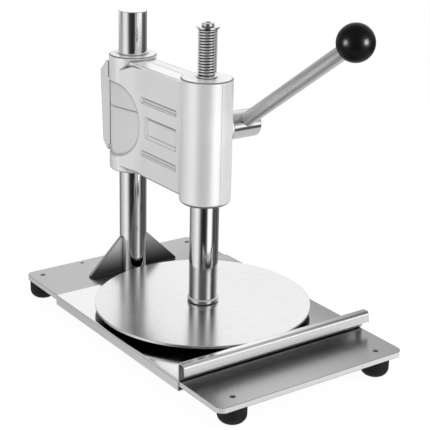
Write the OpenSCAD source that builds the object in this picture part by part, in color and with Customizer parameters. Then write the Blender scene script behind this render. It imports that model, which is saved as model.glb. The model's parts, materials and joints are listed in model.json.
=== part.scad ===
// Manual pizza dough press: a lever turns a pinion, the pinion drives a rack cut in the
// press shaft, and the plate on the shaft flattens dough on a tray that slides out.
// Frame: origin on the table below the middle of the base, Z up, operator at -Y.

/* [Base] */
// Width of the base plate
base_w = 236; // [215:1:280]
// Length of the base plate, front to back
base_l = 400; // [392:1:460]
// Thickness of the base plate
base_t = 6; // [4:0.5:10]
// Corner radius of the base plate
base_r = 9; // [4:0.5:14]
// Distance between the two free screw holes at the back
rear_hole_gap = 90; // [70:1:120]
// Diameter of the free screw holes
rear_hole_d = 4.4; // [3:0.1:7]
// Distance of the free screw holes from the back edge
rear_hole_inset = 7; // [5:0.5:12]

/* [Feet] */
// Height of a rubber foot
foot_h = 20.5; // [16:0.5:30]
// Diameter of a rubber foot where it meets the base
foot_d = 30; // [24:0.5:34]
// Rounding of a foot's lower edge
foot_round = 9; // [2:0.5:11]
// Diameter of the steel stud moulded into a foot
stud_d = 6; // [4:0.5:8]
// Distance of the front feet from the middle plane
front_foot_x = 92.5; // [80:0.5:94]
// Distance of the front feet from the front edge
front_foot_inset = 15.5; // [15:0.5:24]
// Distance of the back feet from the middle plane
rear_foot_x = 103; // [90:0.5:105]
// Distance of the back feet from the back edge
rear_foot_inset = 15; // [15:0.5:24]

/* [Column] */
// Diameter of the column
col_d = 32; // [26:0.5:36]
// Height of the column above the base plate
col_h = 313; // [285:1:360]
// Distance from the press shaft's axis back to the column's axis
throat = 148; // [138:1:155]
// Length of a gusset along the base plate
gusset_run = 44; // [30:1:60]
// Height of a gusset along the column
gusset_h = 43; // [30:1:80]
// Thickness of a gusset
gusset_t = 4; // [3:0.5:6]
// Width of the blunt nose at a gusset's two ends
gusset_nose = 2; // [1:0.5:5]
// Thread diameter of the bolt that holds the column
col_bolt_d = 12; // [8:1:14]

/* [Tray] */
// Length of the tray, front to back
tray_l = 252; // [245:1:270]
// How far the tray reaches behind the press shaft's axis
tray_rear = 120; // [112:1:124]
// Sheet thickness of the tray
sheet = 1.2; // [0.8:0.1:2]
// Outer bend radius of the tray's long edges
bend_r = 2; // [2:0.1:3]
// Side play between the tray and the base plate
tray_play = 0.8; // [0.3:0.1:1.5]
// Height of the tray's side flanges
skirt_h = 12.5; // [10:0.5:16]
// Width of the return under the base plate
return_w = 7; // [4:0.5:8]
// Height of the front lip above the base plate
lip_h = 22; // [18:0.5:30]
// Depth of the front lip, back plate to front face
lip_depth = 11; // [9:0.5:14]
// Height of the lip's hanging front flange
lip_drop = 11.5; // [8:0.5:12]
// Outer bend radius along the top of the lip
lip_r = 3.6; // [2.5:0.1:4.5]
// Angle of the lip's hanging flange from upright
lip_angle = 8; // [0:1:12]

/* [Plate] */
// Diameter of the pressing plate
plate_d = 240; // [180:1:240]
// Thickness of the pressing plate
plate_t = 3; // [3:0.5:6]
// Opening between the tray and the raised plate
press_gap = 8; // [7.8:0.1:14]
// Rounding of the plate's rim
plate_round = 0.5; // [0.2:0.1:1]
// Thread diameter of the screws that hold the plate
plate_screw_d = 4; // [3:0.5:5]

/* [Press shaft] */
// Diameter of the press shaft
shaft_d = 32; // [30:0.5:34]
// Diameter of the shaft's stepped-down upper end
rod_d = 14; // [12:0.5:14]
// Diameter of the collar that joins the shaft to the plate
collar_d = 34.8; // [34.5:0.1:42]
// Height of that collar
collar_h = 6; // [5:0.5:12]
// Diameter of the shaft's spigot inside the collar
spigot_d = 24; // [22:0.5:26]

/* [Head] */
// Height of the head's underside above the base plate
head_clear = 128; // [120:1:135]
// Diameter of the boss around the press shaft
front_boss_d = 56.5; // [52:0.5:62]
// Height of the boss around the press shaft
front_boss_h = 138; // [120:1:160]
// Diameter of the boss around the column
rear_boss_d = 54.5; // [50:0.5:60]
// How far the column boss ends below the top of the front boss
rear_boss_step = 2.5; // [0:0.5:8]
// Width of the arm between the bosses
arm_w = 37; // [34:0.5:44]
// How far the arm's top lies below the top of the front boss
arm_step = 6; // [4:0.5:12]
// How far the arm's underside lies above the bosses' underside
arm_rise = 3; // [1:0.5:6]
// Rounding of the arm's upper edges
arm_top_r = 2.2; // [1:0.1:5]
// Rounding of the arm's lower edges
arm_low_r = 4; // [1:0.1:6]
// Radius of the fillets between the arm and the front boss
fillet_r = 12; // [4:0.5:14]
// Depth of the grooves in the arm's sides
groove_depth = 1.8; // [0.8:0.1:2.4]
// Depth of the pocket between the grooves
pocket_depth = 3; // [1:0.1:3]
// Radius of the round panel at the column end
panel_r = 43.5; // [36:0.5:46]
// Width of the clamp lug behind the column
lug_w = 26; // [22:0.5:32]
// How far the clamp lug reaches behind the column's axis
lug_reach = 51; // [46:0.5:51.5]
// Width of the saw cut that lets the lug clamp
slot_w = 3; // [2:0.5:4]
// Thread diameter of the clamp screws
clamp_screw_d = 8; // [6:1:8]

/* [Return spring] */
// Outer diameter of the spring
spring_d = 20.6; // [20:0.1:22]
// Diameter of the spring wire
wire_d = 2.2; // [1.6:0.1:2.2]
// Number of turns
spring_turns = 16; // [12:1:16]
// Height of the spring at rest
spring_h = 50; // [50:1:70]
// Diameter of the washer on top of the spring
washer_d = 24.2; // [22:0.1:28]
// Thickness of that washer
washer_t = 1.6; // [1:0.1:3]
// Thread diameter of the screw on top of the shaft
top_screw_d = 8; // [5:0.5:8]

/* [Pinion and rack] */
// Tooth module of the pinion and the rack
tooth_module = 1.5; // [1.4:0.05:1.6]
// Number of teeth on the pinion
pinion_teeth = 16; // [15:1:17]
// Width of the pinion's teeth
pinion_w = 15; // [12:0.5:16]
// Height of the pinion's axis above the middle of the front boss
pinion_offset = 3; // [-4:0.5:5]
// Length of the rack's toothed stretch
rack_l = 42; // [36:1:48]
// Flank play, taken off each tooth's thickness
backlash = 0.2; // [0.1:0.05:0.3]
// Diameter of the pinion shaft's outer journal
journal_d = 20; // [18:0.5:21]
// Diameter of the pinion shaft's inner journal
tail_d = 12; // [10:0.5:13]

/* [Lever] */
// Diameter of the lever's hub
hub_d = 31; // [30:0.5:34]
// Length of the lever's hub
hub_l = 37; // [30:0.5:48]
// Distance of the hub's inner face from the middle plane
hub_x = 45.3; // [42:0.1:50]
// Diameter of the lever rod
lever_d = 16; // [12:0.5:18]
// Distance from the pinion's axis to the middle of the ball knob
lever_l = 220; // [180:1:240]
// Angle of the raised lever above the horizontal
lever_angle = 34.4; // [28:0.1:40]
// Diameter of the ball knob
knob_d = 39; // [34:0.5:45]
// Thread diameter of the lever's two threaded ends
lever_thread_d = 10; // [8:0.5:10]

/* [Hidden] */
$fn = 96;

// Clearances and small allowances
run_fit = 0.05;   // radial play where one piece slides or turns in another
seat_fit = 0.02;  // radial play of pressed and screwed pieces
rest_gap = 0.1;   // play between a sliding piece and the face that carries it
overrun = 1;      // how far a cutting solid reaches past the face it cuts
edge = 0.6;       // broken edge on turned pieces
mouth_inset = 0.5; // how far a bush or a spigot ends short of its bore's mouth
hex_share = 2 / sqrt(3); // corner width of a hexagon as a share of its flats
socket_share = 0.75;     // flats of a screw's socket as a share of its thread

// Heights
base_top = foot_h + base_t;
tray_low = base_top + rest_gap;
tray_top = tray_low + sheet;
plate_low = tray_top + press_gap;
plate_top = plate_low + plate_t;
head_low = base_top + head_clear;
front_boss_top = head_low + front_boss_h;
rear_boss_h = front_boss_h - rear_boss_step;
rear_boss_top = head_low + rear_boss_h;
arm_low = head_low + arm_rise;
arm_top = front_boss_top - arm_step;

// Feet, with the steel stud moulded into each
foot_spots = [[-front_foot_x, front_foot_inset - base_l / 2], [front_foot_x, front_foot_inset - base_l / 2],
              [-rear_foot_x, base_l / 2 - rear_foot_inset], [rear_foot_x, base_l / 2 - rear_foot_inset]];
stud_sink = 1;
stud_depth = 10;
stud_flange_d = 18;
stud_flange_t = 2;
stud_low = foot_h - stud_depth;

// Column bolt
col_edge = 1;
col_thread_l = 34;
col_bolt_l = 30;
col_head_t = 7.5;
col_head_share = 1.5;
col_washer_t = 2.5;
col_washer_share = 2;

// Tray
tray_w = base_w + 2 * (tray_play + sheet);
tray_front = tray_rear - tray_l;
lip_y = tray_front + sheet - lip_depth;
lip_top = base_top + lip_h;

// Press shaft's bushes and the bore they sit in
bush_wall = 3;
bush_d = shaft_d + 2 * bush_wall;
bush_l = 28;
roof_t = 12;
stop_gap = 0.3;
bore_top = front_boss_top - roof_t;
rod_bush_wall = 1.5;
rod_bush_d = rod_d + 2 * rod_bush_wall;
seat_t = 2.2;
seat_top = front_boss_top + seat_t;

// Press shaft, with the screws at its two ends
shoulder_z = bore_top - stop_gap;
shaft_foot = plate_top + collar_h;
collar_round_share = 0.35;
washer_low = seat_top + spring_h;
washer_top = washer_low + washer_t;
plate_screw_ring = 8;
plate_screw_l = 14;
plate_screw_angles = [30:120:270];
plate_head_share = 2;
plate_head_d = plate_head_share * plate_screw_d;
plate_cone_h = (plate_head_d - plate_screw_d) / 2;
top_thread_l = 20;
top_head_d = 13.2;
top_head_h = 4.2;
top_head_round = 1.4;

// Pinion and rack
pressure_angle = 20;
dedendum_share = 1.25;
rack_sink = 2.5;
pitch_r = tooth_module * pinion_teeth / 2;
tip_r = pitch_r + tooth_module;
root_r = pitch_r - dedendum_share * tooth_module;
tooth_pitch = PI * tooth_module;
rack_y = shaft_d / 2 - rack_sink;
rack_lead = 8;
pinion_y = rack_y + pitch_r;
pinion_z = head_low + front_boss_h / 2 + pinion_offset;
rack_mid = pinion_z + rack_lead;
flank_steps = 4;

// Pinion's bores and bushes
pinion_room = 0.3;
side_play = 0.3;
pinion_bore_d = 2 * (tip_r + pinion_room);
pinion_end = pinion_w / 2 + side_play;
tail_wall = 2;
tail_l = 6.5;
tail_bore_l = tail_l + side_play;
hub_gap = 0.3;
hub_boss_extra = 2.2;
hub_boss_d = hub_d + hub_boss_extra;
hub_boss_x = hub_x - hub_gap;
hub_boss_round = 1.2;

// Lever, along its own axis from the pinion's
lever_share = 0.53;
lever_x = hub_x + lever_share * hub_l;
hub_bore_d = 16;
hub_spigot_end = hub_x + hub_l - mouth_inset;
hub_round = 1.2;
lever_seat = 9.5;
lever_tail = 2.4;
insert_wall = 2;
insert_d = lever_thread_d + 2 * insert_wall;
insert_l = 16;
knob_flat = sqrt(pow(knob_d / 2, 2) - pow(lever_d / 2, 2));

// Head: arm and boss details
boss_round = 2;
front_boss_round = 5;
arm_crown = 1.2;
arm_shoulder = arm_top - arm_crown;
fillet_y = sqrt(pow(front_boss_d / 2 + fillet_r, 2) - pow(arm_w / 2 + fillet_r, 2));
fillet_touch_share = front_boss_d / (front_boss_d + 2 * fillet_r);
fillet_bite = 0.1;
flare_bite = 0.03;

// Head: grooves and pocket in the arm's sides, placed from the pinion's axis
groove_h = 6.9;
upper_groove_rise = 18;
lower_groove_drop = 43.4;
pocket_rise = 3.8;
pocket_drop = 20.7;
groove_ahead = 3.7;
groove_behind = 47;
pocket_behind = 55;
groove_boss_gap = 6;
groove_front = fillet_y + groove_ahead;
right_groove_front = pinion_y + hub_boss_d / 2 + groove_boss_gap;

// Head: column end, placed from the column's axis and the column boss's two ends
flare_run = 43;
flare_blend = 10;
flare_angle = atan((rear_boss_d - arm_w) / 2 / flare_run);
cheek_top_run = 32.3;
cheek_low_run = 25;
cheek_top_drop = 15;
cheek_low_rise = 5;
panel_sink = 5.75;
panel_step = 14.8;
panel_z = head_low + rear_boss_h / 2 - panel_sink;
panel_upper_depth = 1.5;
panel_lower_depth = 2.7;
lug_rise = 15;
lug_drop = 14;
lug_chamfer = 14;
lug_low_chamfer = 9;
lug_lean = 5;
lug_low = head_low + lug_rise;
lug_high = rear_boss_top - lug_drop;
clamp_share = 0.7;
clamp_y = throat + clamp_share * lug_reach;
clamp_inset = 30;
clamp_heights = [lug_low + clamp_inset, lug_high - clamp_inset];
clamp_head_share = 1.6;
clamp_head_d = clamp_head_share * clamp_screw_d;
clamp_washer_t = 1.6;
clamp_washer_rim = 0.6;
clamp_sink = 1.5;
clamp_blind = 3;
clamp_face_x = lug_w / 2 - clamp_sink;
clamp_washer_d = clamp_head_d + 2 * clamp_washer_rim;

// Return spring: a tube of six sides swept along its path, eight rings a turn
ring_count = 8;
wire_sides = 6;
wire_r = wire_d / 2;
wire_flat = wire_r * cos(180 / wire_sides);
coil_r = spring_d / 2 - wire_r;
coil_low = seat_top + rest_gap + wire_flat;
coil_rise = spring_h - 2 * (rest_gap + wire_flat);
coil_steps = spring_turns * ring_count;
flat_turns = 0.06;

// Rounded rectangle in the plane, its lower left corner at the origin
module rounded_rect(w, h, r) {
    translate([r, 0]) square([w - 2 * r, h]);
    translate([0, r]) square([w, h - 2 * r]);
    for (x = [r, w - r], y = [r, h - r])
        translate([x, y]) circle(r = r);
}

// Turned bar with its lower and upper edges rounded
module turned(d, h, low_r, high_r) {
    rotate_extrude() {
        square([d / 2 - low_r, low_r]);
        translate([0, low_r]) square([d / 2, h - low_r - high_r]);
        translate([0, h - high_r]) square([d / 2 - high_r, high_r]);
        intersection() {
            translate([d / 2 - low_r, low_r]) circle(r = low_r);
            square([d / 2, h]);
        }
        intersection() {
            translate([d / 2 - high_r, h - high_r]) circle(r = high_r);
            square([d / 2, h]);
        }
    }
}

// Outline drawn in the Y-Z plane, given a thickness along X about the middle plane
module along_x(w) {
    rotate([90, 0, 90]) linear_extrude(w, center = true) children();
}

// Outline drawn in the X-Z plane, given a length along +Y from the origin
module along_y(l) {
    translate([0, l, 0]) rotate([90, 0, 0]) linear_extrude(l) children();
}

// Ring or sleeve
module sleeve(outer_d, inner_d, h) {
    difference() {
        cylinder(d = outer_d, h = h);
        translate([0, 0, -overrun]) cylinder(d = inner_d, h = h + 2 * overrun);
    }
}

// Hexagonal socket sunk from z = 0 downwards
module hex_socket(thread_d, depth) {
    translate([0, 0, -depth]) cylinder(d = thread_d * socket_share * hex_share, h = depth + overrun, $fn = 6);
}

// The frame of the pinion's axis: +Z runs along X, towards the lever
module pinion_axis() {
    translate([0, pinion_y, pinion_z]) rotate([0, 90, 0]) children();
}

// The lever's own frame: +Z runs along the rod, from the pinion's axis to the knob
module lever_frame() {
    translate([lever_x, pinion_y, pinion_z]) rotate([90 - lever_angle, 0, 0]) children();
}

// Base

module base_plate() {
    color("silver") difference() {
        translate([-base_w / 2, -base_l / 2, foot_h])
            linear_extrude(base_t) rounded_rect(base_w, base_l, base_r);
        translate([0, 0, foot_h - overrun]) {
            for (p = foot_spots)
                translate([p[0], p[1], 0]) cylinder(d = stud_d + 2 * seat_fit, h = base_t + 2 * overrun);
            for (side = [-1, 1])
                translate([side * rear_hole_gap / 2, base_l / 2 - rear_hole_inset, 0])
                    cylinder(d = rear_hole_d, h = base_t + 2 * overrun);
            translate([0, throat, 0]) cylinder(d = col_bolt_d + 2 * run_fit, h = base_t + 2 * overrun);
        }
    }
}

module foot(spot) {
    color([0.08, 0.08, 0.08]) translate([spot[0], spot[1], 0]) difference() {
        turned(foot_d, foot_h, foot_round, edge);
        translate([0, 0, stud_low]) cylinder(d = stud_d + 2 * seat_fit, h = stud_depth + overrun);
        translate([0, 0, stud_low - stud_flange_t])
            cylinder(d = stud_flange_d + 2 * seat_fit, h = stud_flange_t + seat_fit);
    }
}

module foot_front_left() { foot(foot_spots[0]); }
module foot_front_right() { foot(foot_spots[1]); }
module foot_rear_left() { foot(foot_spots[2]); }
module foot_rear_right() { foot(foot_spots[3]); }

// Steel studs: a flange moulded into the rubber and a thread that ends just below the base's top
module foot_studs() {
    color("dimgray") for (p = foot_spots)
        translate([p[0], p[1], stud_low - stud_flange_t]) {
            cylinder(d = stud_flange_d, h = stud_flange_t);
            cylinder(d = stud_d, h = stud_flange_t + stud_depth + base_t - stud_sink);
        }
}

// Column, its bolt and its gussets

module column() {
    color("gainsboro") translate([0, throat, base_top]) difference() {
        turned(col_d, col_h, edge, col_edge);
        translate([0, 0, -overrun]) cylinder(d = col_bolt_d + 2 * seat_fit, h = col_thread_l + overrun);
    }
}

module column_bolt() {
    color("dimgray") translate([0, throat, foot_h - col_washer_t]) {
        translate([0, 0, -col_head_t])
            cylinder(d = col_bolt_d * col_head_share * hex_share, h = col_head_t, $fn = 6);
        cylinder(d = col_bolt_d, h = col_washer_t + base_t + col_bolt_l);
    }
}

module column_washer() {
    color("silver") translate([0, throat, foot_h - col_washer_t])
        sleeve(col_washer_share * col_bolt_d, col_bolt_d + 2 * run_fit, col_washer_t);
}

module gusset(side) {
    color("silver") translate([0, throat, base_top]) difference() {
        rotate([90, 0, 0]) linear_extrude(gusset_t, center = true)
            polygon([[0, 0],
                     [side * (col_d / 2 + gusset_run), 0],
                     [side * (col_d / 2 + gusset_run), gusset_nose],
                     [side * (col_d / 2 + gusset_nose), gusset_h],
                     [0, gusset_h]]);
        translate([0, 0, -overrun]) cylinder(d = col_d + 2 * seat_fit, h = gusset_h + 2 * overrun);
    }
}

module gusset_left() { gusset(-1); }
module gusset_right() { gusset(1); }

// Tray

// Cross-section of the pan: side flanges that return under the base plate
module pan_section() {
    difference() {
        translate([-tray_w / 2, tray_top - skirt_h]) rounded_rect(tray_w, skirt_h, bend_r);
        translate([sheet - tray_w / 2, tray_top - skirt_h + sheet])
            rounded_rect(tray_w - 2 * sheet, skirt_h - 2 * sheet, bend_r - sheet);
        translate([return_w - tray_w / 2, tray_top - skirt_h - overrun])
            square([tray_w - 2 * return_w, sheet + 2 * overrun]);
    }
}

// Space under the lip's outside, or under its inside where a sheet is taken off
module lip_space(taken, foot_z) {
    r = lip_r - taken;
    front = [lip_y + lip_r, lip_top - lip_r];
    rear = [tray_front + sheet - lip_r, lip_top - lip_r];
    touch = front + r * [-cos(lip_angle), sin(lip_angle)];
    hang = touch[1] - foot_z;
    polygon([touch - hang * [tan(lip_angle), 1], [rear[0] + r, foot_z], rear + [r, 0], rear + [0, r],
             front + [0, r], touch]);
    translate(front) circle(r = r);
    translate(rear) circle(r = r);
}

// Profile of the front lip: bent up from the pan, then rolled forward into a hanging flange
module lip_profile() {
    difference() {
        union() {
            lip_space(0, lip_top - lip_drop);
            translate([tray_front, tray_low + bend_r]) square([sheet, lip_h - bend_r - lip_r]);
        }
        lip_space(sheet, lip_top - lip_drop - overrun);
    }
    intersection() {
        translate([tray_front + bend_r, tray_low + bend_r]) difference() {
            circle(r = bend_r);
            circle(r = bend_r - sheet);
        }
        translate([tray_front, tray_low]) square(bend_r);
    }
}

module dough_tray() {
    color("whitesmoke") {
        translate([0, tray_front + bend_r, 0]) along_y(tray_l - bend_r) pan_section();
        along_x(tray_w) lip_profile();
    }
}

// Head

// Cross-section of the arm: crowned top, rounded edges
module arm_section() {
    side = arm_w / 2;
    polygon([[arm_low_r - side, arm_low], [side - arm_low_r, arm_low], [side, arm_low + arm_low_r],
             [side, arm_shoulder - arm_top_r], [side - arm_top_r, arm_shoulder], [0, arm_top],
             [arm_top_r - side, arm_shoulder], [-side, arm_shoulder - arm_top_r],
             [-side, arm_low + arm_low_r]]);
    for (s = [-1, 1]) {
        translate([s * (side - arm_top_r), arm_shoulder - arm_top_r]) circle(r = arm_top_r);
        translate([s * (side - arm_low_r), arm_low + arm_low_r]) circle(r = arm_low_r);
    }
}

// Fillet between one side of the arm and the front boss
module boss_fillet(side) {
    centre = [side * (arm_w / 2 + fillet_r), fillet_y];
    translate([0, 0, arm_low + arm_low_r])
        linear_extrude(arm_shoulder - arm_top_r - arm_low - arm_low_r) difference() {
            polygon([[0, 0], centre * fillet_touch_share, [side * arm_w / 2, fillet_y], [0, fillet_y]]);
            translate(centre) circle(r = fillet_r + fillet_bite);
        }
}

// Plan of the cheeks, which widen the arm to the column boss and blend into its sides
module cheek_plan(inset) {
    half = arm_w / 2 - inset;
    corner_y = throat - flare_run;
    blend_r = flare_blend / tan(flare_angle / 2);
    touch = [half + flare_blend * sin(flare_angle), corner_y + flare_blend * cos(flare_angle)];
    polygon([[-half, corner_y], [half, corner_y],
             [rear_boss_d / 2 - inset, throat], [inset - rear_boss_d / 2, throat]]);
    for (side = [0, 1]) mirror([side, 0]) difference() {
        polygon([[0, corner_y - flare_blend], [half, corner_y - flare_blend], touch, [0, touch[1]]]);
        translate([half + blend_r, corner_y - flare_blend]) circle(r = blend_r + flare_bite);
    }
}

module cheeks() {
    flare_start = throat - flare_run - flare_blend;
    intersection() {
        translate([0, 0, head_low]) linear_extrude(front_boss_h) cheek_plan(0);
        along_x(2 * rear_boss_d)
            polygon([[flare_start, arm_low + arm_low_r], [flare_start, arm_shoulder - arm_top_r],
                     [throat - cheek_top_run, arm_shoulder - arm_top_r], [throat, arm_top - cheek_top_drop],
                     [throat, arm_low + cheek_low_rise], [throat - cheek_low_run, arm_low + arm_low_r]]);
    }
}

// Clamp lug behind the column boss
module clamp_lug() {
    lean_y = throat + lug_reach - lug_lean;
    along_x(lug_w)
        polygon([[throat, lug_low], [lean_y - lug_low_chamfer, lug_low], [lean_y, lug_low + lug_low_chamfer],
                 [throat + lug_reach, lug_high - lug_chamfer],
                 [throat + lug_reach - lug_chamfer, lug_high], [throat, lug_high]]);
}

// Sunk panel with sloping walls in one side of the arm, between two lines across and two along it
module side_pocket(side, front, back, low, high, depth) {
    face = side * (arm_w / 2 + overrun);
    bed = side * (arm_w / 2 - depth);
    intersection() {
        translate([0, front, 0]) along_y(back - front)
            polygon([[face, low - overrun], [face, high + overrun], [bed, high - depth], [bed, low + depth]]);
        translate([0, 0, low]) linear_extrude(high - low)
            polygon([[face, front - overrun], [face, back + overrun],
                     [bed, back - depth], [bed, front + depth]]);
    }
}

module side_pockets(side, front) {
    upper = pinion_z + upper_groove_rise;
    lower = pinion_z - lower_groove_drop;
    side_pocket(side, front, throat - groove_behind, upper, upper + groove_h, groove_depth);
    side_pocket(side, front, throat - groove_behind, lower, lower + groove_h, groove_depth);
    side_pocket(side, front, throat - pocket_behind, pinion_z - pocket_drop, pinion_z + pocket_rise,
                pocket_depth);
}

// Round sunk panel on both sides of the column end, of one depth up to the given height
module round_panel(depth, top_z) {
    difference() {
        intersection() {
            translate([0, throat, panel_z]) rotate([0, 90, 0])
                cylinder(r = panel_r, h = 2 * rear_boss_d, center = true);
            translate([-rear_boss_d, throat - 2 * panel_r, head_low])
                cube([2 * rear_boss_d, 4 * panel_r, top_z - head_low]);
        }
        translate([0, 0, head_low - overrun]) linear_extrude(front_boss_h + 2 * overrun) {
            translate([0, throat]) circle(d = rear_boss_d - 2 * depth);
            cheek_plan(depth);
            translate([depth - arm_w / 2, 0]) square([arm_w - 2 * depth, throat]);
            translate([-lug_w / 2, throat]) square([lug_w, lug_reach + overrun]);
        }
    }
}

module head_casting() {
    color([0.8, 0.8, 0.8]) difference() {
        union() {
            translate([0, 0, head_low]) turned(front_boss_d, front_boss_h, front_boss_round, boss_round);
            translate([0, throat, head_low]) turned(rear_boss_d, rear_boss_h, boss_round, boss_round);
            along_y(throat) arm_section();
            for (side = [-1, 1])
                boss_fillet(side);
            cheeks();
            clamp_lug();
            pinion_axis() turned(hub_boss_d, hub_boss_x, hub_boss_round, hub_boss_round);
        }
        side_pockets(-1, groove_front);
        side_pockets(1, right_groove_front);
        round_panel(panel_upper_depth, front_boss_top);
        round_panel(panel_lower_depth, panel_z + panel_step);
        // Bore for the press shaft's bushes, and the hole for the rod bush
        translate([0, 0, head_low - overrun])
            cylinder(d = bush_d + 2 * seat_fit, h = bore_top - head_low + overrun);
        translate([0, 0, bore_top - overrun])
            cylinder(d = rod_bush_d + 2 * seat_fit, h = roof_t + 2 * overrun);
        // Bore for the column, with the clamp's saw cut and screw holes
        translate([0, throat, head_low - overrun])
            cylinder(d = col_d + 2 * run_fit, h = rear_boss_h + 2 * overrun);
        translate([-slot_w / 2, throat, head_low - overrun])
            cube([slot_w, lug_reach + overrun, rear_boss_h + 2 * overrun]);
        for (z = clamp_heights) translate([0, clamp_y, z]) rotate([0, 90, 0]) {
            translate([0, 0, clamp_blind - lug_w / 2])
                cylinder(d = clamp_screw_d + 2 * seat_fit, h = lug_w + overrun);
            translate([0, 0, clamp_face_x])
                cylinder(d = clamp_washer_d + 2 * run_fit, h = clamp_sink + overrun);
        }
        // Bores for the pinion and its two bushes
        pinion_axis() {
            translate([0, 0, -pinion_end]) cylinder(d = pinion_bore_d, h = pinion_end + hub_boss_x + overrun);
            translate([0, 0, -pinion_end - tail_bore_l])
                cylinder(d = tail_d + 2 * (tail_wall + seat_fit), h = tail_bore_l + overrun);
        }
    }
}

module clamp_screws() {
    color("dimgray") for (z = clamp_heights)
        translate([clamp_face_x + clamp_washer_t, clamp_y, z]) rotate([0, 90, 0]) difference() {
            union() {
                translate([0, 0, clamp_blind + edge - lug_w / 2 - clamp_face_x - clamp_washer_t])
                    cylinder(d = clamp_screw_d, h = lug_w / 2 + clamp_face_x + clamp_washer_t - clamp_blind);
                turned(clamp_head_d, clamp_screw_d, edge / 2, edge);
            }
            translate([0, 0, clamp_screw_d]) hex_socket(clamp_screw_d, clamp_screw_d / 2);
        }
}

module clamp_washers() {
    color("silver") for (z = clamp_heights)
        translate([clamp_face_x, clamp_y, z]) rotate([0, 90, 0])
            sleeve(clamp_washer_d, clamp_screw_d + 2 * run_fit, clamp_washer_t);
}

module shaft_bush(z) {
    color("darkgoldenrod") translate([0, 0, z]) sleeve(bush_d, shaft_d + 2 * run_fit, bush_l);
}

module lower_bush() { shaft_bush(head_low + mouth_inset); }
module upper_bush() { shaft_bush(bore_top - stop_gap - bush_l); }

// Flanged bush for the stepped-down rod; its flange is the spring's seat
module rod_bush() {
    color("darkgoldenrod") difference() {
        union() {
            translate([0, 0, bore_top]) cylinder(d = rod_bush_d, h = roof_t + seat_t / 2);
            translate([0, 0, front_boss_top]) turned(spring_d, seat_t, edge / 2, edge / 2);
        }
        translate([0, 0, bore_top - overrun])
            cylinder(d = rod_d + 2 * run_fit, h = roof_t + seat_t + 2 * overrun);
    }
}

// The outer bush is cut away where the press shaft's bore passes it
module outer_pinion_bush() {
    color("darkgoldenrod") difference() {
        pinion_axis() translate([0, 0, pinion_end])
            sleeve(pinion_bore_d - 2 * seat_fit, journal_d + 2 * run_fit,
                   hub_boss_x - pinion_end - mouth_inset);
        translate([0, 0, pinion_z - pinion_bore_d]) cylinder(d = bush_d + 2 * seat_fit, h = 2 * pinion_bore_d);
    }
}

module inner_pinion_bush() {
    color("darkgoldenrod") pinion_axis() translate([0, 0, -pinion_end - tail_bore_l])
        sleeve(tail_d + 2 * tail_wall, tail_d + 2 * run_fit, tail_l);
}

// Press shaft and plate

// One gap of the rack, drawn in the Y-Z plane with its middle at the height of the origin
module rack_gap() {
    half = (tooth_pitch / 2 + backlash) / 2;
    lean = tan(pressure_angle);
    bed_y = rack_y - dedendum_share * tooth_module;
    face_y = rack_y + tooth_module;
    bed_half = half - dedendum_share * tooth_module * lean;
    face_half = half + tooth_module * lean;
    polygon([[bed_y, bed_half], [face_y, face_half], [face_y + overrun, face_half],
             [face_y + overrun, -face_half], [face_y, -face_half], [bed_y, -bed_half]]);
}

module press_shaft() {
    low_gap = ceil((rack_mid - rack_l / 2 - pinion_z) / tooth_pitch);
    high_gap = floor((rack_mid + rack_l / 2 - pinion_z) / tooth_pitch - 1 / 2);
    color("gainsboro") difference() {
        union() {
            translate([0, 0, plate_top]) cylinder(d = spigot_d, h = collar_h + edge);
            translate([0, 0, shaft_foot]) cylinder(d = shaft_d, h = shoulder_z - shaft_foot - edge);
            translate([0, 0, shoulder_z - edge]) cylinder(d1 = shaft_d, d2 = shaft_d - 2 * edge, h = edge);
            translate([0, 0, shoulder_z - edge]) cylinder(d = rod_d, h = washer_low - shoulder_z + edge);
        }
        // Rack: a flat along the back of the shaft, then the gaps between its teeth
        translate([-shaft_d / 2, rack_y + tooth_module, rack_mid - rack_l / 2])
            cube([shaft_d, shaft_d, rack_l]);
        for (i = [low_gap:high_gap])
            translate([0, 0, pinion_z + i * tooth_pitch]) along_x(shaft_d) rack_gap();
        // Threaded holes for the plate's screws and the top screw
        for (a = plate_screw_angles) rotate(a) translate([plate_screw_ring, 0, plate_top - overrun])
            cylinder(d = plate_screw_d + 2 * seat_fit, h = plate_screw_l + overrun);
        translate([0, 0, washer_low - top_thread_l])
            cylinder(d = top_screw_d + 2 * seat_fit, h = top_thread_l + overrun);
    }
}

module plate_collar() {
    color("gainsboro") translate([0, 0, plate_top]) difference() {
        turned(collar_d, collar_h, collar_round_share * collar_h, collar_round_share * collar_h);
        translate([0, 0, -overrun]) cylinder(d = spigot_d + 2 * seat_fit, h = collar_h + 2 * overrun);
    }
}

module press_plate() {
    color("silver") translate([0, 0, plate_low]) difference() {
        turned(plate_d, plate_t, plate_round, plate_round);
        for (a = plate_screw_angles) rotate(a) translate([plate_screw_ring, 0, -seat_fit]) {
            cylinder(d = plate_screw_d + 2 * seat_fit, h = plate_t + overrun);
            cylinder(d1 = plate_head_d + 2 * seat_fit, d2 = plate_screw_d + 2 * seat_fit,
                     h = plate_cone_h + seat_fit);
        }
    }
}

module plate_screws() {
    color("dimgray") for (a = plate_screw_angles) rotate(a) translate([plate_screw_ring, 0, plate_low]) {
        cylinder(d1 = plate_head_d, d2 = plate_screw_d, h = plate_cone_h);
        translate([0, 0, plate_cone_h / 2]) cylinder(d = plate_screw_d, h = plate_screw_l - plate_cone_h / 2);
    }
}

// Return spring

// Height of the wire's middle after t turns: flat ends, steady rise between them
function coil_z(t) =
    coil_low + coil_rise * min(1, max(0, (t - flat_turns) / (spring_turns - 2 * flat_turns)));
function radial(t) = [cos(360 * t), sin(360 * t), 0];
function tangent(t) = [-sin(360 * t), cos(360 * t), 0];
function coil_point(t) = coil_r * radial(t) + [0, 0, coil_z(t)];
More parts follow.
